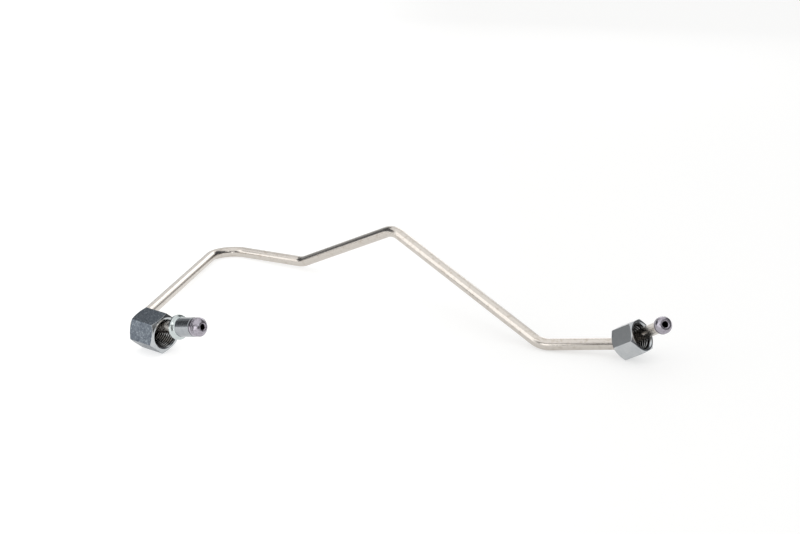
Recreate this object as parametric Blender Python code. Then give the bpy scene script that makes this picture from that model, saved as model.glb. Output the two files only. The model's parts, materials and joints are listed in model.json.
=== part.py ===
# High pressure fuel line: a bent steel tube with a cold-formed head at each end,
# a collared thrust sleeve behind one head, and a union nut loose on each end.
# It lies on a floor as it comes to rest. Metres, +Z up, origin on the floor
# under the middle of the line.

import bpy
import bmesh
from math import asin, atan2, cos, pi, radians, sin, sqrt, tan
from mathutils import Matrix, Vector

mm = 0.001

# Tube, bent on one former
tube_diameter = 6.35 * mm
tube_bore = 3.1 * mm
bend_radius = 14.0 * mm
bore_chamfer = 0.45 * mm

# Route in millimetres: the two tips and the corners where the straights would meet
plain_tip = (132.6, -99.7, 29.2)
lift_corner = (126.3, -78.1, 16.3)
nut_corner = (116.8, -70.1, 7.1)
floor_corner = (74.6, -60.7, 2.9)
arch_corner = (-3.8, 17.8, 42.2)
dip_corner = (-59.5, 72.6, 4.7)
far_corner = (-114.4, 105.2, 2.85)
near_corner = (-143.4, -50.0, 8.6)
sleeved_tip = (-100.5, -84.3, 21.8)

# Head of the plain end
plain_head_diameter = 9.1 * mm
plain_tip_diameter = 5.9 * mm
plain_nose_length = 2.7 * mm
plain_nose_bulge = 0.35 * mm
plain_head_length = 4.7 * mm

# Head of the sleeved end
sleeved_head_diameter = 10.0 * mm
sleeved_tip_diameter = 5.4 * mm
sleeved_nose_length = 2.3 * mm
sleeved_nose_bulge = 0.3 * mm
sleeved_head_length = 5.7 * mm

# Both heads have a land behind the nose, then a shallow groove, then a rear land
front_land = 0.7 * mm
groove_width = 0.6 * mm
groove_depth = 0.3 * mm
head_chamfer = 0.2 * mm

# Thrust sleeve with its collar
sleeve_diameter = 10.2 * mm
sleeve_length = 13.5 * mm
sleeve_front_chamfer = 0.3 * mm
collar_diameter = 13.2 * mm
collar_thickness = 3.0 * mm
collar_chamfer = 0.6 * mm
collar_fillet = 0.7 * mm
fit_gap = 0.3 * mm             # kept between pieces that touch

# Union nut on the sleeved end, 19 mm across flats, M16 x 1.5
large_flats = 19.0 * mm
large_length = 18.0 * mm
large_wall = 3.0 * mm
large_hole = 7.9 * mm
large_thread_minor = 14.38 * mm
large_thread_major = 16.0 * mm
large_front_ring = 18.0 * mm
large_rear_ring = 16.6 * mm
large_mouth_chamfer = 0.9 * mm
large_setback = 47.6 * mm      # tip to the nut's rear face
large_clock = -11.0            # corner's turn from straight up, degrees

# Union nut on the plain end, 17 mm across flats, M14 x 1.5
small_flats = 17.0 * mm
small_length = 13.8 * mm
small_wall = 3.0 * mm
small_hole = 8.5 * mm
small_thread_minor = 12.38 * mm
small_thread_major = 14.0 * mm
small_front_ring = 16.4 * mm
small_rear_ring = 16.3 * mm
small_mouth_chamfer = 1.3 * mm
small_setback = 0.6 * mm       # rear face behind the corner of the bend
small_droop = 4.6              # degrees below the tube's line
small_lift = 0.6 * mm          # towards the inside of the bend it rests on
small_clock = 30.0

# Shared by both nuts
relief_length = 1.5 * mm
relief_depth = 0.15 * mm
blank_margin = 0.5 * mm        # turned blank past the hexagon's corners
hole_chamfer = 0.3 * mm
nut_chamfer_angle = radians(30.0)
hexagon_half_side = pi / 6.0   # turn from the middle of a flat to its corner

# Facets
tube_sides = 24
bore_sides = 12
turned_sides = 72
bend_step = radians(10.0)
nose_steps = 4


def remove_everything():
    for item in list(bpy.data.objects):
        bpy.data.objects.remove(item, do_unlink=True)


def finish_material(name, colour, roughness):
    material = bpy.data.materials.new(name)
    material.use_nodes = True
    shader = material.node_tree.nodes["Principled BSDF"]
    shader.inputs["Base Color"].default_value = (*colour, 1.0)
    shader.inputs["Roughness"].default_value = roughness
    shader.inputs["Metallic"].default_value = 1.0
    return material


def object_from(mesh_builder, name, material, parent):
    mesh = bpy.data.meshes.new(name)
    bmesh.ops.recalc_face_normals(mesh_builder, faces=mesh_builder.faces)
    mesh_builder.to_mesh(mesh)
    mesh_builder.free()
    mesh.materials.append(material)
    mesh.shade_smooth()
    mesh.set_sharp_from_angle(angle=radians(25.0))
    piece = bpy.data.objects.new(name, mesh)
    bpy.context.scene.collection.objects.link(piece)
    piece.parent = parent
    return piece


def ring_at(builder, centre, side, other, radius, sides):
    turns = (2.0 * pi * index / sides for index in range(sides))
    return [
        builder.verts.new(centre + radius * (cos(turn) * side + sin(turn) * other))
        for turn in turns
    ]


def join_rings(builder, first, second):
    count = len(first)
    for index in range(count):
        after = (index + 1) % count
        builder.faces.new((first[index], first[after], second[after], second[index]))


def join_uneven_rings(builder, outer, inner):
    # the outer ring has a whole multiple of the inner ring's sides
    share = len(outer) // len(inner)
    for index, corner in enumerate(inner):
        after = inner[(index + 1) % len(inner)]
        start = index * share
        fan = [outer[(start + step) % len(outer)] for step in range(share + 1)]
        middle = share // 2
        for step in range(middle):
            builder.faces.new((fan[step], fan[step + 1], corner))
        builder.faces.new((corner, fan[middle], after))
        for step in range(middle, share):
            builder.faces.new((fan[step], fan[step + 1], after))


def route_corners():
    corners = (
        plain_tip,
        lift_corner,
        nut_corner,
        floor_corner,
        arch_corner,
        dip_corner,
        far_corner,
        near_corner,
        sleeved_tip,
    )
    return [Vector(corner) * mm for corner in corners]


def bend_stations(before, corner, after):
    arriving = (corner - before).normalized()
    leaving = (after - corner).normalized()
    bend = arriving.angle(leaving)
    reach = bend_radius * tan(bend / 2.0)
    start = corner - reach * arriving
    inward = (leaving - arriving * leaving.dot(arriving)).normalized()
    steps = max(2, round(bend / bend_step))
    stations = []
    for step in range(steps + 1):
        turn = bend * step / steps
        spot = start + bend_radius * (sin(turn) * arriving + (1.0 - cos(turn)) * inward)
        stations.append((spot, cos(turn) * arriving + sin(turn) * inward))
    return stations


def head_outline(head, tip, nose, bulge, length):
    # distances behind the tip, with the radius there
    outline = []
    for step in range(nose_steps + 1):
        share = step / nose_steps
        radius = tip / 2.0 + share * (head - tip) / 2.0
        outline.append((share * nose, radius + 4.0 * bulge * share * (1.0 - share)))
    groove = nose + front_land
    outline += [
        (groove, head / 2.0),
        (groove + groove_depth / 2.0, head / 2.0 - groove_depth),
        (groove + groove_width - groove_depth / 2.0, head / 2.0 - groove_depth),
        (groove + groove_width, head / 2.0),
        (length - head_chamfer, head / 2.0),
        (length, head / 2.0 - head_chamfer),
        (length, tube_diameter / 2.0),
    ]
    return outline


def transport_frames(stations):
    # carries one side vector along the route with the least twist
    tangent = stations[0][1]
    side = tangent.orthogonal().normalized()
    frames = []
    for spot, direction in stations:
        side = tangent.rotation_difference(direction) @ side
        side = (side - direction * side.dot(direction)).normalized()
        frames.append((spot, side, direction.cross(side)))
        tangent = direction
    return frames


def tube_stations():
    corners = route_corners()
    plain = head_outline(plain_head_diameter, plain_tip_diameter, plain_nose_length,
                         plain_nose_bulge, plain_head_length)
    sleeved = head_outline(sleeved_head_diameter, sleeved_tip_diameter,
                           sleeved_nose_length, sleeved_nose_bulge, sleeved_head_length)
    leaving = (corners[1] - corners[0]).normalized()
    arriving = (corners[-1] - corners[-2]).normalized()
    outside = [(corners[0] + reach * leaving, leaving, radius) for reach, radius in plain]
    inside = [
        (corners[0], leaving, tube_bore / 2.0 + bore_chamfer),
        (corners[0] + bore_chamfer * leaving, leaving, tube_bore / 2.0),
    ]
    for index in range(1, len(corners) - 1):
        for spot, direction in bend_stations(*corners[index - 1:index + 2]):
            outside.append((spot, direction, tube_diameter / 2.0))
            inside.append((spot, direction, tube_bore / 2.0))
    for reach, radius in reversed(sleeved):
        outside.append((corners[-1] - reach * arriving, arriving, radius))
    inside.append((corners[-1] - bore_chamfer * arriving, arriving, tube_bore / 2.0))
    inside.append((corners[-1], arriving, tube_bore / 2.0 + bore_chamfer))
    return outside, inside


def swept_rings(builder, stations, sides):
    frames = transport_frames([(spot, direction) for spot, direction, radius in stations])
    rings = [
        ring_at(builder, spot, side, other, station[2], sides)
        for (spot, side, other), station in zip(frames, stations)
    ]
    for first, second in zip(rings, rings[1:]):
        join_rings(builder, first, second)
    return rings[0], rings[-1]


def fuel_tube(material, parent):
    builder = bmesh.new()
    outside, inside = tube_stations()
    outer_ends = swept_rings(builder, outside, tube_sides)
    inner_ends = swept_rings(builder, inside, bore_sides)
    for outer, inner in zip(outer_ends, inner_ends):
        join_uneven_rings(builder, outer, inner)
    return object_from(builder, "fuel_tube", material, parent)


def turned_mesh(outline):
    # a closed outline of (radius, height) turned about Z
    builder = bmesh.new()
    centre_axis = Vector((0.0, 0.0, 1.0))
    rings = [
        ring_at(builder, height * centre_axis, Vector((1.0, 0.0, 0.0)),
                Vector((0.0, 1.0, 0.0)), radius, turned_sides)
        for radius, height in outline
    ]
    for index, ring in enumerate(rings):
        join_rings(builder, ring, rings[(index + 1) % len(rings)])
    return builder


def end_line(tip, corner):
    tip = Vector(tip) * mm
    return tip, (tip - Vector(corner) * mm).normalized()


def straight_down(axis):
    # the downward direction square to the axis
    down = Vector((0.0, 0.0, -1.0))
    return (down - axis * down.dot(axis)).normalized()


def upright_frame(axis, clock):
    # local X points up across the axis, then turns about it by the clock angle
    up = -straight_down(axis)
    across = axis.cross(up)
    turned = cos(clock) * up + sin(clock) * across
    return Matrix((turned, axis.cross(turned), axis)).transposed()


def place(piece, spot, axis, clock):
    piece.location = spot
    piece.rotation_euler = upright_frame(axis, clock).to_euler()


def thrust_sleeve(material, parent):
    bore = tube_diameter / 2.0 + fit_gap
    barrel = sleeve_diameter / 2.0
    collar = collar_diameter / 2.0
    collar_front = collar_thickness
    outline = [
        (bore, 0.0),
        (collar - collar_chamfer, 0.0),
        (collar, collar_chamfer),
        (collar, collar_front - collar_chamfer),
        (collar - collar_chamfer, collar_front),
        (barrel + collar_fillet, collar_front),
    ]
    for step in range(1, nose_steps + 1):
        turn = 0.5 * pi * step / nose_steps
        outline.append((barrel + collar_fillet * (1.0 - sin(turn)),
                        collar_front + collar_fillet * (1.0 - cos(turn))))
    outline += [
        (barrel, sleeve_length - sleeve_front_chamfer),
        (barrel - sleeve_front_chamfer, sleeve_length),
        (bore, sleeve_length),
    ]
    piece = object_from(turned_mesh(outline), "thrust_sleeve", material, parent)
    tip, axis = end_line(sleeved_tip, near_corner)
    seat = sleeved_head_length + fit_gap + sleeve_length
    place(piece, tip - seat * axis, axis, 0.0)
    return piece


def hexagon_cutter(name, flats, length, parent):
    builder = bmesh.new()
    reach = flats / 2.0 / cos(hexagon_half_side)
    margin = length
    base = Vector((0.0, 0.0, -margin))
    top = Vector((0.0, 0.0, length + margin))
    side = Vector((1.0, 0.0, 0.0))
    other = Vector((0.0, 1.0, 0.0))
    low = ring_at(builder, base, side, other, reach, 6)
    high = ring_at(builder, top, side, other, reach, 6)
    join_rings(builder, low, high)
    builder.faces.new(low)
    builder.faces.new(high)
    bmesh.ops.recalc_face_normals(builder, faces=builder.faces)
    mesh = bpy.data.meshes.new(name)
    builder.to_mesh(mesh)
    builder.free()
    cutter = bpy.data.objects.new(name, mesh)
    bpy.context.scene.collection.objects.link(cutter)
    cutter.parent = parent
    cutter.hide_render = True
    cutter.display_type = "WIRE"
    return cutter


def nut_outline(flats, length, wall, hole, minor, major, front_ring, rear_ring, mouth):
    # the turned blank that the hexagon cuts
    widest = flats / 2.0 / cos(hexagon_half_side) + blank_margin
    slope = tan(nut_chamfer_angle)
    front_drop = (widest - front_ring / 2.0) * slope
    rear_drop = (widest - rear_ring / 2.0) * slope
    relief = major / 2.0 + relief_depth
    thread = minor / 2.0
    return [
        (hole / 2.0 + hole_chamfer, 0.0),
        (rear_ring / 2.0, 0.0),
        (widest, rear_drop),
        (widest, length - front_drop),
        (front_ring / 2.0, length),
        (thread + mouth, length),
        (thread, length - mouth),
        (thread, wall + relief_length),
        (relief, wall + relief_length - (relief - thread)),
        (relief, wall),
        (hole / 2.0, wall),
        (hole / 2.0, hole_chamfer),
    ]


def union_nut(name, sizes, spot, axis, clock, material, parent):
    piece = object_from(turned_mesh(nut_outline(*sizes)), name, material, parent)
    cutter = hexagon_cutter(name + "_flats", sizes[0], sizes[1], parent)
    for item in (piece, cutter):
        place(item, spot, axis, radians(clock))
    hexagon = piece.modifiers.new("Hexagon", "BOOLEAN")
    hexagon.operation = "INTERSECT"
    hexagon.solver = "EXACT"
    hexagon.object = cutter
    return piece


def large_nut_pose():
    # hangs on the tube: its axis crosses the tube's in the middle of the rear wall,
    # and it droops until the top of its mouth lies on the tube
    tip, axis = end_line(sleeved_tip, near_corner)
    lever = large_length - large_mouth_chamfer - large_wall / 2.0
    room = large_thread_minor / 2.0 - fit_gap
    droop = atan2(room, lever) - asin(tube_diameter / 2.0 / sqrt(room ** 2 + lever ** 2))
    nut_axis = cos(droop) * axis + sin(droop) * straight_down(axis)
    crossing = tip - (large_setback - large_wall / 2.0) * axis
    return crossing - large_wall / 2.0 * nut_axis, nut_axis


def small_nut_pose():
    # slid back on to the bend, its rear edge on the floor
    corner, arriving = end_line(nut_corner, floor_corner)
    axis = end_line(lift_corner, nut_corner)[1]
    inward = (axis - arriving).normalized()
    spot = corner - small_setback * axis + small_lift * inward
    droop = radians(small_droop)
    return spot, cos(droop) * axis + sin(droop) * straight_down(axis)


def rest_on_floor(parent, pieces):
    # the parent empty moves so that the line's lowest point is at zero
    bpy.context.view_layer.update()
    depsgraph = bpy.context.evaluated_depsgraph_get()
    points = []
    for piece in pieces:
        shown = piece.evaluated_get(depsgraph)
        points += [shown.matrix_world @ vertex.co for vertex in shown.data.vertices]
    low = [min(point[axis] for point in points) for axis in range(3)]
    high = [max(point[axis] for point in points) for axis in range(3)]
    middle = [(low[axis] + high[axis]) / 2.0 for axis in range(2)]
    parent.location = (-middle[0], -middle[1], -low[2])
    bpy.context.view_layer.update()


def build_line():
    remove_everything()
    line = bpy.data.objects.new("fuel_line", None)
    bpy.context.scene.collection.objects.link(line)
    drawn = finish_material("drawn steel of the tube", (0.62, 0.60, 0.57), 0.3)
    sleeve = finish_material("zinc-plated steel of the sleeve", (0.60, 0.62, 0.63), 0.35)
    rough = finish_material("zinc-plated steel of the large nut", (0.48, 0.52, 0.56), 0.5)
    plated = finish_material("zinc-plated steel of the small nut", (0.55, 0.57, 0.58), 0.4)
    large_sizes = (large_flats, large_length, large_wall, large_hole,
                   large_thread_minor, large_thread_major, large_front_ring, large_rear_ring,
                   large_mouth_chamfer)
    small_sizes = (small_flats, small_length, small_wall, small_hole,
                   small_thread_minor, small_thread_major, small_front_ring, small_rear_ring,
                   small_mouth_chamfer)
    pieces = [
        fuel_tube(drawn, line),
        thrust_sleeve(sleeve, line),
        union_nut("large_union_nut", large_sizes, *large_nut_pose(), large_clock, rough, line),
        union_nut("small_union_nut", small_sizes, *small_nut_pose(), small_clock, plated, line),
    ]
    rest_on_floor(line, pieces)


build_line()
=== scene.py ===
# High pressure fuel line, dressed: a bent steel tube with a cold-formed head at each end,
# a turned sleeve with a collar, and two zinc-plated union nuts with cut threads.
# Lengths are written in millimetres and turned to metres where the meshes are made.

import json
from math import atan2, ceil, cos, pi, radians, sin, sqrt, tan

import bpy
import bmesh
from mathutils import Matrix, Vector


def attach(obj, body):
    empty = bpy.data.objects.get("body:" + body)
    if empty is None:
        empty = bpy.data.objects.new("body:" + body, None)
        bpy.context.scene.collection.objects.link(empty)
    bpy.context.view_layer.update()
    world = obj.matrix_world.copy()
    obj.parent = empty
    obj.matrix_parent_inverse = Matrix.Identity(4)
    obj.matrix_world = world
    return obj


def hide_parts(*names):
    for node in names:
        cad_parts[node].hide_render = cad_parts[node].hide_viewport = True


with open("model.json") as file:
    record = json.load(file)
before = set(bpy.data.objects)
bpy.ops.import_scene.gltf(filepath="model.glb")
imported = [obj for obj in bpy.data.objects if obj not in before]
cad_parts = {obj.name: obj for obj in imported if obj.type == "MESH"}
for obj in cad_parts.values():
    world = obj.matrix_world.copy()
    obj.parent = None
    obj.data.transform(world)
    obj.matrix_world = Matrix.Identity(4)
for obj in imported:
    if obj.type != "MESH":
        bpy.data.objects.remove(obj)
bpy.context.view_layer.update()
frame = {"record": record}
mm = 0.001
print("frame loaded")


# Small tools

def linear(code):
    # sRGB hex to the linear colour that Blender's sockets take
    shares = [int(code[place:place + 2], 16) / 255.0 for place in (1, 3, 5)]
    return tuple(s / 12.92 if s <= 0.04045 else ((s + 0.055) / 1.055) ** 2.4 for s in shares)


def addNode(tree, kind, values=None, links=None, **settings):
    node = tree.nodes.new("ShaderNode" + kind)
    for name, value in settings.items():
        setattr(node, name, value)
    for socket, value in (values or {}).items():
        node.inputs[socket].default_value = value
    for socket, source in (links or {}).items():
        tree.links.new(source, node.inputs[socket])
    return node


def newMetal(name, colour, roughness):
    material = bpy.data.materials.new(name)
    material.use_nodes = True
    shader = material.node_tree.nodes["Principled BSDF"]
    shader.inputs["Base Color"].default_value = (*linear(colour), 1.0)
    shader.inputs["Metallic"].default_value = 1.0
    shader.inputs["Roughness"].default_value = roughness
    return material, material.node_tree, shader


def roundedOutline(corners, closed, steps=4):
    # corners are (across, along, rounding); each rounding becomes a true arc
    outline = []
    last = len(corners) - 1
    for index, (across, along, rounding) in enumerate(corners):
        spot = Vector((across, along))
        if rounding == 0.0 or (not closed and index in (0, last)):
            outline.append(spot)
            continue
        back = (Vector(corners[index - 1][:2]) - spot).normalized()
        ahead = (Vector(corners[(index + 1) % len(corners)][:2]) - spot).normalized()
        half = back.angle(ahead) / 2.0
        if half > radians(88.0):
            outline.append(spot)
            continue
        centre = spot + (back + ahead).normalized() * (rounding / sin(half))
        first = spot + back * (rounding / tan(half)) - centre
        final = spot + ahead * (rounding / tan(half)) - centre
        sweep = first.angle_signed(final)
        for step in range(steps + 1):
            turn = -sweep * step / steps
            outline.append(centre + Matrix.Rotation(turn, 2) @ first)
    return outline


def closedGrid(name, rings, slots, metals, lie=None, placing=None):
    # rings of points joined in a closed loop; slots gives each band its metal;
    # the lie of each point, in millimetres, is kept for the metals' patterns
    placing = placing or Matrix.Scale(mm, 4)
    count = len(rings[0])
    faces = []
    bands = []
    for row in range(len(rings)):
        after = (row + 1) % len(rings)
        for column in range(count):
            beside = (column + 1) % count
            faces.append((row * count + column, row * count + beside,
                          after * count + beside, after * count + column))
            bands.append(slots[row])
    mesh = bpy.data.meshes.new(name)
    mesh.from_pydata([placing @ point for ring in rings for point in ring], [], faces)
    for metal in metals:
        mesh.materials.append(metal)
    mesh.polygons.foreach_set("material_index", bands)
    spots = mesh.attributes.new("lieMm", "FLOAT_VECTOR", "POINT")
    spots.data.foreach_set("vector", [value for ring in lie or rings for spot in ring
                                      for value in spot])
    builder = bmesh.new()
    builder.from_mesh(mesh)
    bmesh.ops.recalc_face_normals(builder, faces=builder.faces)
    builder.to_mesh(mesh)
    builder.free()
    mesh.shade_smooth()
    mesh.set_sharp_from_angle(angle=radians(50.0))
    piece = bpy.data.objects.new(name, mesh)
    bpy.context.scene.collection.objects.link(piece)
    even = piece.modifiers.new("even flats", "WEIGHTED_NORMAL")
    even.keep_sharp = True
    return piece


def roundRing(radius, height, turns):
    return [Vector((radius * cos(turn), radius * sin(turn), height)) for turn in turns]


def uprightPlacing(spot, axis, clock):
    # millimetres to metres; local Z along the axis, local X turned from straight up
    down = Vector((0.0, 0.0, -1.0))
    up = -(down - axis * down.dot(axis)).normalized()
    side = cos(radians(clock)) * up + sin(radians(clock)) * axis.cross(up)
    turn = Matrix((side, axis.cross(side), axis)).transposed()
    return Matrix.Translation(spot) @ turn.to_4x4() @ Matrix.Scale(mm, 4)


# Metals

drawnLook = {
    "colour": "#C9C3BC",        # bright mild steel with a warm cast
    "stain": "#A89C8F",         # thin brownish film left by drawing oil
    "smooth": 0.15, "dull": 0.25,    # roughness along a streak and between streaks
    "streakWidth": 0.16,        # draw marks are finer; coarser here so that they show
    "streakLength": 22.0,
    "mottle": 2.2,              # size of the cloudy patches
    "streakRelief": 0.08,
}


def drawnSteel():
    # seamless tube drawn through a die: satin, with faint lengthwise lines
    material, tree, shader = newMetal("drawn steel tube", drawnLook["colour"],
                                      drawnLook["smooth"])
    lie = addNode(tree, "Attribute", attribute_name="lieMm")
    across = 1.0 / drawnLook["streakWidth"]
    drawn = addNode(tree, "Mapping", {"Scale": (across, across, 1.0 / drawnLook["streakLength"])},
                    {"Vector": lie.outputs["Vector"]})
    streak = addNode(tree, "TexNoise", {"Scale": 1.0, "Detail": 3.0, "Roughness": 0.6},
                     {"Vector": drawn.outputs["Vector"]})
    cloud = addNode(tree, "TexNoise", {"Scale": 1.0 / drawnLook["mottle"], "Detail": 4.0},
                    {"Vector": lie.outputs["Vector"]})
    stain = addNode(tree, "MapRange", {"From Min": 0.52, "From Max": 0.75, "To Max": 0.5},
                    {"Value": cloud.outputs["Fac"]})
    colour = addNode(tree, "Mix", {6: (*linear(drawnLook["colour"]), 1.0),
                                   7: (*linear(drawnLook["stain"]), 1.0)},
                     {0: stain.outputs["Result"]}, data_type="RGBA")
    tree.links.new(colour.outputs[2], shader.inputs["Base Color"])
    dull = addNode(tree, "MapRange", {"From Min": 0.3, "From Max": 0.7,
                                      "To Min": drawnLook["smooth"],
                                      "To Max": drawnLook["dull"]},
                   {"Value": streak.outputs["Fac"]})
    tree.links.new(dull.outputs["Result"], shader.inputs["Roughness"])
    lines = addNode(tree, "Bump", {"Strength": drawnLook["streakRelief"], "Distance": 0.02 * mm},
                    {"Height": streak.outputs["Fac"]})
    tree.links.new(lines.outputs["Normal"], shader.inputs["Normal"])
    return material


headLook = {
    "colour": "#A9A5AE",        # violet-grey where the blow worked the steel
    "dark": "#8E878F",
    "roughness": 0.22,
    "ringPitch": 0.22,          # marks that run round the head
}


def formedSteel():
    # head upset cold in a die: smoother than the tube, with faint rings round it
    material, tree, shader = newMetal("cold-formed steel head", headLook["colour"],
                                      headLook["roughness"])
    lie = addNode(tree, "Attribute", attribute_name="lieMm")
    along = addNode(tree, "Mapping", {"Scale": (0.25, 0.25, 1.0 / headLook["ringPitch"])},
                    {"Vector": lie.outputs["Vector"]})
    rings = addNode(tree, "TexNoise", {"Scale": 1.0, "Detail": 2.0},
                    {"Vector": along.outputs["Vector"]})
    cloud = addNode(tree, "TexNoise", {"Scale": 0.9, "Detail": 4.0},
                    {"Vector": lie.outputs["Vector"]})
    patch = addNode(tree, "MapRange", {"From Min": 0.45, "From Max": 0.75},
                    {"Value": cloud.outputs["Fac"]})
    colour = addNode(tree, "Mix", {6: (*linear(headLook["colour"]), 1.0),
                                   7: (*linear(headLook["dark"]), 1.0)},
                     {0: patch.outputs["Result"]}, data_type="RGBA")
    tree.links.new(colour.outputs[2], shader.inputs["Base Color"])
    relief = addNode(tree, "Bump", {"Strength": 0.15, "Distance": 0.03 * mm},
                     {"Height": rings.outputs["Fac"]})
    tree.links.new(relief.outputs["Normal"], shader.inputs["Normal"])
    return material


paintedShadeLook = {
    "colour": "#1E1C1C",        # near black: painted shade down the bore and on the groove floors
    "bright": "#35302D",
    "roughness": 0.5,
}


def paintedShadeSteel():
    # painted shade: near black and dull, for the inside wall and the groove floors
    material, tree, shader = newMetal("bore and groove floors, painted shade", paintedShadeLook["colour"],
                                      paintedShadeLook["roughness"])
    lie = addNode(tree, "Attribute", attribute_name="lieMm")
    grain = addNode(tree, "TexNoise", {"Scale": 2.5, "Detail": 4.0},
                    {"Vector": lie.outputs["Vector"]})
    worn = addNode(tree, "MapRange", {"From Min": 0.5, "From Max": 0.8},
                   {"Value": grain.outputs["Fac"]})
    colour = addNode(tree, "Mix", {6: (*linear(paintedShadeLook["colour"]), 1.0),
                                   7: (*linear(paintedShadeLook["bright"]), 1.0)},
                     {0: worn.outputs["Result"]}, data_type="RGBA")
    tree.links.new(colour.outputs[2], shader.inputs["Base Color"])
    pits = addNode(tree, "Bump", {"Strength": 0.3, "Distance": 0.03 * mm},
                   {"Height": grain.outputs["Fac"]})
    tree.links.new(pits.outputs["Normal"], shader.inputs["Normal"])
    return material


def zincPlate(name, look):
    # electroplated zinc under a clear blue passivate: grey with a cool cast
    material, tree, shader = newMetal(name, look["colour"], look["roughness"])
    inMm = addNode(tree, "Attribute", attribute_name="lieMm")
    patches = addNode(tree, "TexNoise", {"Scale": 1.0 / look["patchSize"], "Detail": 5.0,
                                         "Roughness": 0.62},
                      {"Vector": inMm.outputs["Vector"]})
    patch = addNode(tree, "MapRange", {"From Min": 0.38, "From Max": 0.68},
                    {"Value": patches.outputs["Fac"]})
    colour = addNode(tree, "Mix", {6: (*linear(look["dark"]), 1.0),
                                   7: (*linear(look["colour"]), 1.0)},
                     {0: patch.outputs["Result"]}, data_type="RGBA")
    grain = addNode(tree, "TexNoise", {"Scale": 1.0 / look["grainSize"], "Detail": 4.0,
                                       "Roughness": 0.7},
                    {"Vector": inMm.outputs["Vector"]})
    glint = addNode(tree, "MapRange", {"From Min": 0.5, "From Max": 0.68,
                                       "To Max": look["glint"]},
                    {"Value": grain.outputs["Fac"]})
    spotted = addNode(tree, "Mix", {7: (*linear(look["bright"]), 1.0)},
                      {0: glint.outputs["Result"], 6: colour.outputs[2]}, data_type="RGBA")
    tree.links.new(spotted.outputs[2], shader.inputs["Base Color"])
    dull = addNode(tree, "MapRange", {"From Min": 0.35, "From Max": 0.7,
                                      "To Min": look["roughness"] + look["uneven"],
                                      "To Max": look["roughness"] - look["uneven"]},
                   {"Value": patches.outputs["Fac"]})
    tree.links.new(dull.outputs["Result"], shader.inputs["Roughness"])
    uneven = addNode(tree, "Bump", {"Strength": look["relief"], "Distance": 0.05 * mm},
                     {"Height": grain.outputs["Fac"]})
    tree.links.new(uneven.outputs["Normal"], shader.inputs["Normal"])
    return material


roughZinc = {
    "colour": "#6E757D", "dark": "#596069", "bright": "#B4BCC2",
    "roughness": 0.29, "uneven": 0.06, "patchSize": 2.2, "grainSize": 1.0, "glint": 0.5,
    "relief": 0.6,
}
smoothZinc = {
    "colour": "#C6C8C9", "dark": "#BBBEC0", "bright": "#DADCDE",
    "roughness": 0.33, "uneven": 0.02, "patchSize": 3.5, "grainSize": 0.4, "glint": 0.15,
    "relief": 0.12,
}
sleeveZinc = {
    "colour": "#A7AAAD", "dark": "#9DA1A5", "bright": "#D8DCDC",
    "roughness": 0.22, "uneven": 0.02, "patchSize": 2.5, "grainSize": 0.3, "glint": 0.1,
    "relief": 0.05,
}
# a lighter copy of the sleeve's zinc for the collar: painted highlight
collarZinc = {
    "colour": "#C9D0CF", "dark": "#BEC6C6", "bright": "#E0E5E5",
    "roughness": 0.2, "uneven": 0.02, "patchSize": 2.0, "grainSize": 0.3, "glint": 0.1,
    "relief": 0.05,
}
turnedZinc = {
    "colour": "#C3C6C8", "dark": "#B8BCBF", "bright": "#DDE0E2",
    "roughness": 0.2, "uneven": 0.02, "patchSize": 2.0, "grainSize": 0.3, "glint": 0.1,
    "relief": 0.08,
}
threadLook = {
    "crest": "#D3D4D4",         # plated crests shine
    "root": "#050506",          # roots near black: painted shade in the thread's hollows, with a little oil
    "roughness": 0.24,
    "paintedShadeFrom": 0.06,          # how far below the crest the painted shade starts
    "crestDepth": 0.21,         # and where the painted shade is full
    "wear": 0.15,               # how unevenly
}


def cutThread(name, nut):
    # thread cut with a tap: burnished crests; deeper in, flanks and roots go near black, painted
    # shade with a little oil
    material, tree, shader = newMetal(name, threadLook["root"], threadLook["roughness"])
    inMm = addNode(tree, "Attribute", attribute_name="lieMm")
    flat = addNode(tree, "Mapping", {"Scale": (1.0, 1.0, 0.0)},
                   {"Vector": inMm.outputs["Vector"]})
    reach = addNode(tree, "VectorMath", links={0: flat.outputs["Vector"]}, operation="LENGTH")
    crest = nut["minor"] / 2.0
    deep = addNode(tree, "MapRange", {"From Min": crest + threadLook["paintedShadeFrom"],
                                      "From Max": crest + threadLook["crestDepth"]},
                   {"Value": reach.outputs["Value"]})
    worn = addNode(tree, "TexNoise", {"Scale": 0.9, "Detail": 3.0},
                   {"Vector": inMm.outputs["Vector"]})
    wear = addNode(tree, "MapRange", {"From Min": 0.3, "From Max": 0.7,
                                      "To Min": -threadLook["wear"],
                                      "To Max": threadLook["wear"]},
                   {"Value": worn.outputs["Fac"]})
    share = addNode(tree, "Math", links={0: deep.outputs["Result"], 1: wear.outputs["Result"]},
                    operation="ADD", use_clamp=True)
    # crest colour at the crest, near black deeper in: painted shade
    colour = addNode(tree, "Mix", {6: (*linear(threadLook["crest"]), 1.0),
                                   7: (*linear(threadLook["root"]), 1.0)},
                     {0: share.outputs[0]}, data_type="RGBA")
    tree.links.new(colour.outputs[2], shader.inputs["Base Color"])
    return material


tubeMetal = drawnSteel()
headMetal = formedSteel()
paintedShadeMetal = paintedShadeSteel()
largeMetal = zincPlate("zinc-plated forged steel", roughZinc)
smallMetal = zincPlate("zinc-plated machined steel", smoothZinc)
sleeveMetal = zincPlate("zinc-plated turned steel", sleeveZinc)
turnedMetal = zincPlate("zinc-plated turned face", turnedZinc)
collarMetal = zincPlate("collar zinc, painted highlight", collarZinc)
print("metals made")


# Tube

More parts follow.
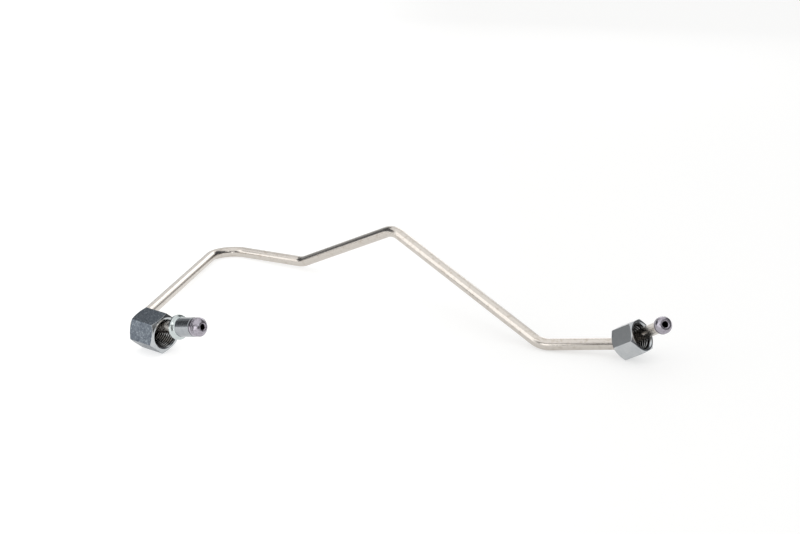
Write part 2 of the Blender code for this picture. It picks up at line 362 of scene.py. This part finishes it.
tube = {
    "diameter": 6.31, "bore": 3.1, "boreChamfer": 0.45, "brightBore": 1.2, "bendRadius": 14.0,
    "sides": 64, "bendStep": 3.0,
    "corners": (                  # tips, and where the straights would meet
        (137.043, -99.075, 29.126),
        (130.743, -77.475, 16.226),
        (121.243, -69.475, 7.026),
        (79.043, -60.075, 2.826),
        (0.643, 18.425, 42.126),
        (-55.057, 73.225, 4.626),
        (-109.957, 105.825, 2.776),
        (-138.957, -49.375, 8.526),
        (-96.057, -83.675, 21.726),
    ),
}
plainHead = {
    "diameter": 9.0, "tip": 5.86, "nose": 2.7, "bulge": 0.35, "length": 4.7,
    "grooves": ((0.7, 0.6, 0.3),),
}
sleevedHead = {
    "diameter": 9.96, "tip": 5.36, "nose": 2.3, "bulge": 0.3, "length": 5.7,
    "grooves": ((0.25, 0.6, 0.35), (1.3, 0.55, 0.35)),
}
# grooves are (behind the nose, width, depth)
headEdges = {
    "tip": 0.22, "nose": 0.12, "shoulder": 0.25,    # roundings
    "grooveRim": 0.06, "grooveFloor": 0.05, "noseSteps": 9,
    "tubeShown": 1.2,           # plain tube behind the head in its outline
}


def headOutline(head):
    # (distance behind the tip, radius), from the bore's chamfer out and back to the tube
    across = head["diameter"] / 2.0
    corners = [
        (0.0, tube["bore"] / 2.0 + tube["boreChamfer"], 0.0),
        (0.0, tube["bore"] / 2.0 + tube["boreChamfer"] + 0.1, 0.0),
        (0.02, head["tip"] / 2.0, headEdges["tip"]),
    ]
    for step in range(1, headEdges["noseSteps"]):
        share = step / headEdges["noseSteps"]
        radius = head["tip"] / 2.0 + share * (across - head["tip"] / 2.0)
        corners.append((share * head["nose"],
                        radius + 4.0 * head["bulge"] * share * (1.0 - share), 0.0))
    corners.append((head["nose"], across, headEdges["nose"]))
    for behind, width, depth in head["grooves"]:
        start = head["nose"] + behind
        corners += [
            (start, across, headEdges["grooveRim"]),
            (start + depth / 2.0, across - depth, headEdges["grooveFloor"]),
            (start + width - depth / 2.0, across - depth, headEdges["grooveFloor"]),
            (start + width, across, headEdges["grooveRim"]),
        ]
    corners += [
        (head["length"], across, headEdges["shoulder"]),
        (head["length"], tube["diameter"] / 2.0, headEdges["shoulder"]),
        (head["length"] + headEdges["tubeShown"], tube["diameter"] / 2.0, 0.0),
    ]
    return roundedOutline(corners, closed=False)


def headSlot(head, reach, radius):
    # 0 tube, 1 head, 2 near black: painted shade on a groove's floor
    if reach > head["length"] + 0.2:
        return 0
    inGroove = head["nose"] < reach < head["length"] - 0.3
    return 2 if inGroove and radius < head["diameter"] / 2.0 - 0.1 else 1


def routeFrames():
    # (spot, side, other side, distance) at each station, with the least twist
    corners = [Vector(corner) for corner in tube["corners"]]
    stations = [(corners[0], (corners[1] - corners[0]).normalized())]
    for before, corner, after in zip(corners, corners[1:], corners[2:]):
        arriving = (corner - before).normalized()
        leaving = (after - corner).normalized()
        bend = arriving.angle(leaving)
        start = corner - tube["bendRadius"] * tan(bend / 2.0) * arriving
        inward = (leaving - arriving * leaving.dot(arriving)).normalized()
        steps = ceil(bend / radians(tube["bendStep"]))
        for step in range(steps + 1):
            turn = bend * step / steps
            spot = start + tube["bendRadius"] * (sin(turn) * arriving
                                                 + (1.0 - cos(turn)) * inward)
            stations.append((spot, cos(turn) * arriving + sin(turn) * inward))
    stations.append((corners[-1], (corners[-1] - corners[-2]).normalized()))
    heading = stations[0][1]
    side = heading.orthogonal().normalized()
    spotBefore = stations[0][0]
    distance = 0.0
    frames = []
    for spot, direction in stations:
        side = heading.rotation_difference(direction) @ side
        side = (side - direction * side.dot(direction)).normalized()
        distance += (spot - spotBefore).length
        frames.append((spot, side, direction.cross(side), distance, direction))
        heading = direction
        spotBefore = spot
    return frames


def buildTube():
    frames = routeFrames()
    rings = []
    lie = []
    slots = []

    def addRing(frameHere, reach, radius, slot):
        spot, side, other, distance, direction = frameHere
        turns = [2.0 * pi * index / tube["sides"] for index in range(tube["sides"])]
        rings.append([spot + reach * direction + radius * (cos(turn) * side + sin(turn) * other)
                      for turn in turns])
        lie.append([(radius * cos(turn), radius * sin(turn), distance + reach)
                    for turn in turns])
        slots.append(slot)

    for reach, radius in headOutline(plainHead):
        addRing(frames[0], reach, radius, headSlot(plainHead, reach, radius))
    for station in frames[1:-1]:
        addRing(station, 0.0, tube["diameter"] / 2.0, 0)
    for reach, radius in reversed(headOutline(sleevedHead)):
        addRing(frames[-1], -reach, radius, headSlot(sleevedHead, reach, radius))
    addRing(frames[-1], -tube["boreChamfer"], tube["bore"] / 2.0, 1)
    # near black from here in: painted shade down the bore
    addRing(frames[-1], -tube["brightBore"], tube["bore"] / 2.0, 2)
    for station in reversed(frames[1:-1]):
        addRing(station, 0.0, tube["bore"] / 2.0, 2)
    addRing(frames[0], tube["brightBore"], tube["bore"] / 2.0, 1)
    addRing(frames[0], tube["boreChamfer"], tube["bore"] / 2.0, 1)
    piece = closedGrid("bent_tube", rings, slots, (tubeMetal, headMetal, paintedShadeMetal), lie)
    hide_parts("fuel_tube")
    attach(piece, "line")


buildTube()
print("tube built")


# Thrust sleeve

sleeve = {
    "diameter": 10.16, "length": 13.5, "bore": 6.95,
    "collarDiameter": 13.16, "rimEnd": 1.7, "slopeEnd": 2.65, "collarChamfer": 0.4,
    "fillet": 0.8, "gap": 0.3, "sides": 144,
}


def buildSleeve():
    barrel = sleeve["diameter"] / 2.0
    collar = sleeve["collarDiameter"] / 2.0
    bore = sleeve["bore"] / 2.0
    chamfer = sleeve["collarChamfer"]
    corners = (
        (bore, 0.0, 0.15),
        (collar - chamfer, 0.0, 0.12),
        (collar, chamfer, 0.3),
        (collar, sleeve["rimEnd"], 0.6),
        (barrel + 0.35, sleeve["slopeEnd"] - 0.2, 0.3),
        (barrel, sleeve["slopeEnd"], sleeve["fillet"]),
        (barrel, sleeve["length"], 0.3),
        (bore, sleeve["length"], 0.15),
    )
    outline = roundedOutline(corners, closed=True, steps=6)
    turns = [2.0 * pi * index / sleeve["sides"] for index in range(sleeve["sides"])]
    rings = [roundRing(radius, height, turns) for radius, height in outline]
    tip = Vector(tube["corners"][-1])
    axis = (tip - Vector(tube["corners"][-2])).normalized()
    seat = sleevedHead["length"] + sleeve["gap"] + sleeve["length"]
    collarEnd = sleeve["slopeEnd"] + sleeve["fillet"]
    # the collar and its slope take the lighter copy of the zinc: painted highlight
    slots = [1 if radius > bore + 0.5 and max(height, after) < collarEnd + 0.1 else 0
             for (radius, height), (_, after) in zip(outline, outline[1:] + outline[:1])]
    piece = closedGrid("turned_sleeve", rings, slots, (sleeveMetal, collarMetal),
                       placing=uprightPlacing((tip - seat * axis) * mm, axis, 0.0))
    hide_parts("thrust_sleeve")
    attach(piece, "line")


buildSleeve()
print("sleeve built")


# Union nuts

largeNut = {
    "flats": 18.96, "length": 17.98, "wall": 3.0, "hole": 7.9, "minor": 14.38, "major": 16.0,
    "frontRing": 17.9, "rearRing": 16.6, "mouth": 0.9, "mouthDepth": 0.8, "clock": -11.0,
    "pitch": 1.5,
}
smallNut = {
    "flats": 16.96, "length": 13.78, "wall": 3.0, "hole": 8.5, "minor": 12.38, "major": 14.0,
    "frontRing": 16.3, "rearRing": 16.2, "mouth": 1.3, "mouthDepth": 2.4, "clock": 30.0,
    "pitch": 1.5,
}
nutEdges = {
    "cornerRounding": 0.3,        # of the hexagon's long edges
    "rimRounding": 0.18,
    "relief": 1.5, "reliefDepth": 0.15, "holeChamfer": 0.3,
    "chamferAngle": 30.0, "lip": 0.15, "threadStart": 0.2, "brightMouth": 0.9,
    "columns": 28, "crowding": 0.14, "turnsPerPitch": 18,
}


def hexagonReach(turn, flats):
    # radius of a hexagon with rounded corners, a corner at turn zero
    away = abs((turn + pi / 6.0) % (pi / 3.0) - pi / 6.0)
    half = flats / 2.0
    rounding = nutEdges["cornerRounding"]
    centre = (half - rounding) / cos(pi / 6.0)
    if away < atan2(rounding / 2.0, centre + rounding * cos(pi / 6.0)):
        return centre * cos(away) + sqrt(rounding ** 2 - (centre * sin(away)) ** 2)
    return half / cos(pi / 6.0 - away)


def columnTurns():
    # closer together at the hexagon's corners
    turns = []
    for sector in range(6):
        for column in range(nutEdges["columns"]):
            share = column / nutEdges["columns"]
            turns.append(pi / 3.0 * (sector + share
                                     - nutEdges["crowding"] * sin(2.0 * pi * share)))
    return turns


def threadReach(turn, height, nut):
    # inside thread; the crest's edge towards the mouth is worn to a bevel
    phase = (height / nut["pitch"] - turn / (2.0 * pi) + 0.5) % 1.0 - 0.5
    crest, bevel, rise, root = 0.03, 0.21, 0.33, 0.44
    away = abs(phase)
    if phase > 0.0 and away < bevel:
        climb = rise * max(0.0, away - crest) / (bevel - crest)
    elif phase > 0.0:
        climb = min(1.0, rise + (1.0 - rise) * (away - bevel) / (root - bevel))
    else:
        climb = min(1.0, max(0.0, away - crest) / (root - crest))
    return (nut["minor"] + climb * (nut["major"] - nut["minor"])) / 2.0


def nutSection(turn, nut):
    # closed (radius, height) outline of the nut at one turn, and its metals
    slope = tan(radians(nutEdges["chamferAngle"]))
    reach = hexagonReach(turn, nut["flats"])
    hole = nut["hole"] / 2.0
    thread = nut["minor"] / 2.0
    relief = nut["major"] / 2.0 + nutEdges["reliefDepth"]
    edge = nutEdges["rimRounding"]
    lip = nutEdges["lip"]
    outside = roundedOutline((
        (hole, nutEdges["holeChamfer"] + 0.5, 0.0),
        (hole, 0.0, nutEdges["holeChamfer"]),
        (nut["rearRing"] / 2.0, 0.0, edge),
        (reach, (reach - nut["rearRing"] / 2.0) * slope, edge),
        (reach, nut["length"] - (reach - nut["frontRing"] / 2.0) * slope, edge),
        (nut["frontRing"] / 2.0, nut["length"], edge),
        (thread + nut["mouth"], nut["length"], 0.12),
        (thread + nut["mouth"] * (1.0 - lip / nut["mouthDepth"]), nut["length"] - lip, 0.0),
    ), closed=False)
    top = nut["length"] - nutEdges["threadStart"]
    bottom = nut["wall"] + nutEdges["relief"]
    steps = ceil((top - bottom) / nut["pitch"] * nutEdges["turnsPerPitch"])
    inside = []
    for step in range(steps + 1):
        height = top + (bottom - top) * step / steps
        cone = thread + nut["mouth"] * (1.0 - (nut["length"] - height) / nut["mouthDepth"])
        inside.append(Vector((max(threadReach(turn, height, nut), cone), height)))
    back = roundedOutline((
        (thread, bottom, 0.0),
        (relief, bottom - (relief - thread), 0.1),
        (relief, nut["wall"], 0.3),
        (hole + 0.3, nut["wall"], 0.15),
        (hole, nut["wall"] - 0.3, 0.0),
    ), closed=False)
    outline = outside + inside + back[1:]
    brightFrom = nut["length"] - min(nutEdges["brightMouth"], 0.8 * nut["mouthDepth"])
    metals = []
    for here, after in zip(outline, outline[1:] + outline[:1]):
        if here.x > relief and abs(after.y - here.y) > nut["length"] / 3.0:
            metals.append(0)
        # deeper thread rows and the back of the bore take the thread metal, near black: painted
        # shade inside the nut
        elif (here in inside and here.y < brightFrom) or here in back:
            metals.append(2)
        else:
            metals.append(1)
    return outline, metals


def buildNut(name, nut, metal, node, body, joint):
    turns = columnTurns()
    sections = [nutSection(turn, nut) for turn in turns]
    rings = []
    for row in range(len(sections[0][0])):
        ring = []
        for turn, section in zip(turns, sections):
            radius, height = section[0][row]
            ring.append(Vector((radius * cos(turn), radius * sin(turn), height)))
        rings.append(ring)
    for hinge in frame["record"]["behaviour"]["joints"]:
        if hinge["name"] == joint:
            placing = uprightPlacing(Vector(hinge["pos_m"]), Vector(hinge["axis"]).normalized(),
                                     nut["clock"])
    threadMetal = cutThread(name.replace("_cut", " thread").replace("_", " "), nut)
    piece = closedGrid(name, rings, sections[0][1], (metal, turnedMetal, threadMetal),
                       placing=placing)
    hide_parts(node)
    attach(piece, body)


buildNut("large_nut_cut", largeNut, largeMetal, "large_union_nut",
         "large_nut", "large_nut_spin")
buildNut("small_nut_cut", smallNut, smallMetal, "small_union_nut",
         "small_nut", "small_nut_spin")
print("nuts built")


# Floor, light and camera

studio = {
    "floor": "#BEBEBD", "floorReach": 3.0,
    # the floor's lift is stronger on the left: painted light on the left softbox's side
    "glowLeft": 0.8, "glowRight": 0.54, "leftEnd": -0.3, "rightEnd": 0.1,
    "worldDiffuse": 0.75,
}
photoCamera = {"spot": (0.004443, -0.799375, 0.294926), "tilt": 71.4, "lens": 67.5,
               "sensor": 36.0}
frontCard = {
    # small and low, in front of the sleeved end, to light its nose
    "azimuths": (-192.0, -158.0), "elevations": (0.0, 30.0), "greys": ("#FFFFFF", "#FFFFFF"),
    "distance": 0.3, "centre": (-0.096, -0.084), "glow": 2.2,
}
softboxes = {
    # (azimuth, distance, height, width, tall, glow); azimuth 0 is away from the camera
    "left softbox": (-116.0, 0.9, 0.52, 0.6, 1.04, 0.8),
    "back softbox": (13.0, 1.0, 0.40, 0.38, 0.36, 1.3),
    "front softbox": (155.0, 1.0, 0.81, 0.22, 0.22, 3.0),
}
topSoftbox = {"spot": (-0.3, -0.15, 0.95), "width": 1.35, "depth": 1.25, "glow": 0.22}
screens = {
    # (azimuth from, to, elevation from, to, grey at the foot, grey at the top);
    # cloths that only the metal shows
    "left back screen": (-97.0, -52.0, 0.5, 38.0, "#7A7D80", "#101112"),
    "back left screen": (-52.0, -26.0, 2.0, 43.0, "#BCBEC0", "#4A4C4E"),
    "back low screen": (-26.0, 36.0, 0.2, 8.0, "#A8A9AA", "#C4C4C4"),
    "camera side screen": (128.0, 236.0, 0.5, 35.0, "#4A4A4A", "#A8A8A8"),
    "right screen": (36.0, 128.0, 0.5, 48.0, "#56575A", "#56575A"),
}


def seenThrough(tree):
    # 1 for what the camera sees, straight on or by way of metal or glass
    path = addNode(tree, "LightPath")
    seen = addNode(tree, "Math", links={0: path.outputs["Is Camera Ray"],
                                        1: path.outputs["Is Glossy Ray"]}, operation="MAXIMUM")
    through = addNode(tree, "Math", links={0: seen.outputs[0],
                                           1: path.outputs["Is Transmission Ray"]},
                      operation="MAXIMUM")
    return through


def buildFloor():
    reach = studio["floorReach"]
    mesh = bpy.data.meshes.new("floor")
    mesh.from_pydata([(-reach, -reach, 0.0), (reach, -reach, 0.0), (reach, reach, 0.0),
                      (-reach, reach, 0.0)], [], [(0, 1, 2, 3)])
    material = bpy.data.materials.new("matt white table board")
    material.use_nodes = True
    tree = material.node_tree
    shader = tree.nodes["Principled BSDF"]
    shader.inputs["Base Color"].default_value = (*linear(studio["floor"]), 1.0)
    shader.inputs["Roughness"].default_value = 0.9
    shader.inputs["Specular IOR Level"].default_value = 0.1
    through = seenThrough(tree)
    spot = addNode(tree, "TexCoord")
    across = addNode(tree, "SeparateXYZ", links={0: spot.outputs["Object"]})
    # lift fades from left to right: painted light, a brighter floor on the left softbox's side
    side = addNode(tree, "MapRange", {"From Min": studio["leftEnd"],
                                      "From Max": studio["rightEnd"],
                                      "To Min": studio["glowLeft"],
                                      "To Max": studio["glowRight"]},
                   {"Value": across.outputs["X"]}, interpolation_type="SMOOTHSTEP")
    lift = addNode(tree, "Math", links={0: through.outputs[0], 1: side.outputs["Result"]},
                   operation="MULTIPLY")
    shader.inputs["Emission Color"].default_value = (1.0, 1.0, 1.0, 1.0)
    tree.links.new(lift.outputs[0], shader.inputs["Emission Strength"])
    mesh.materials.append(material)
    floor = bpy.data.objects.new("floor", mesh)
    bpy.context.scene.collection.objects.link(floor)


def buildWorld():
    # white to the eye and in the metal, softer as a lamp
    world = bpy.data.worlds.new("studio")
    bpy.context.scene.world = world
    world.use_nodes = True
    tree = world.node_tree
    tree.nodes.clear()
    through = seenThrough(tree)
    level = addNode(tree, "MapRange", {"To Min": studio["worldDiffuse"], "To Max": 1.0},
                    {"Value": through.outputs[0]})
    glow = addNode(tree, "Background", {"Color": (1.0, 1.0, 1.0, 1.0)},
                   {"Strength": level.outputs["Result"]})
    addNode(tree, "OutputWorld", links={"Surface": glow.outputs[0]})


def addSoftbox(name, spot, width, tall, glow, facingDown=False):
    # glow is the brightness of the cloth: 1 is white
    lamp = bpy.data.lights.new(name, "AREA")
    lamp.shape = "RECTANGLE"
    lamp.size = width
    lamp.size_y = tall
    lamp.energy = glow * pi * width * tall
    piece = bpy.data.objects.new(name, lamp)
    piece.location = spot
    if not facingDown:
        inward = Vector((-spot[0], -spot[1], 0.0))
        piece.rotation_euler = inward.to_track_quat("-Z", "Y").to_euler()
    piece.visible_camera = False
    bpy.context.scene.collection.objects.link(piece)


def addScreen(name, azimuths, elevations, greys, distance=1.6, centre=(0.0, 0.0), glow=1.0):
    steps = 12
    points = []
    for column in range(steps + 1):
        azimuth = radians(azimuths[0] + (azimuths[1] - azimuths[0]) * column / steps)
        for elevation in elevations:
            height = distance * tan(radians(elevation))
            points.append((centre[0] + distance * sin(azimuth),
                           centre[1] + distance * cos(azimuth), height))
    faces = [(2 * step, 2 * step + 1, 2 * step + 3, 2 * step + 2) for step in range(steps)]
    mesh = bpy.data.meshes.new(name)
    mesh.from_pydata(points, [], faces)
    material = bpy.data.materials.new(name + " cloth")
    material.use_nodes = True
    tree = material.node_tree
    tree.nodes.clear()
    spot = addNode(tree, "TexCoord")
    height = addNode(tree, "SeparateXYZ", links={0: spot.outputs["Generated"]})
    shade = addNode(tree, "Mix", {6: (*linear(greys[0]), 1.0), 7: (*linear(greys[1]), 1.0)},
                    {0: height.outputs["Z"]}, data_type="RGBA")
    cloth = addNode(tree, "Emission", {"Strength": glow}, {"Color": shade.outputs[2]})
    addNode(tree, "OutputMaterial", links={"Surface": cloth.outputs[0]})
    mesh.materials.append(material)
    screen = bpy.data.objects.new(name, mesh)
    bpy.context.scene.collection.objects.link(screen)
    screen.visible_camera = False
    screen.visible_diffuse = False
    screen.visible_shadow = False
    screen.visible_transmission = False


buildFloor()
buildWorld()
addSoftbox("top softbox", topSoftbox["spot"], topSoftbox["width"], topSoftbox["depth"],
           topSoftbox["glow"], facingDown=True)
for name, (azimuth, distance, height, width, tall, glow) in softboxes.items():
    spot = (distance * sin(radians(azimuth)), distance * cos(radians(azimuth)), height)
    addSoftbox(name, spot, width, tall, glow)
for name, (left, right, low, high, foot, top) in screens.items():
    addScreen(name, (left, right), (low, high), (foot, top))
addScreen("front card", **frontCard)
camera = bpy.data.cameras.new("photo view")
camera.lens = photoCamera["lens"]
camera.sensor_width = photoCamera["sensor"]
cameraPiece = bpy.data.objects.new("photo view", camera)
cameraPiece.location = photoCamera["spot"]
cameraPiece.rotation_euler = (radians(photoCamera["tilt"]), 0.0, 0.0)
bpy.context.scene.collection.objects.link(cameraPiece)
bpy.context.scene.camera = cameraPiece
bpy.context.scene.view_settings.view_transform = "Standard"
print("studio set")
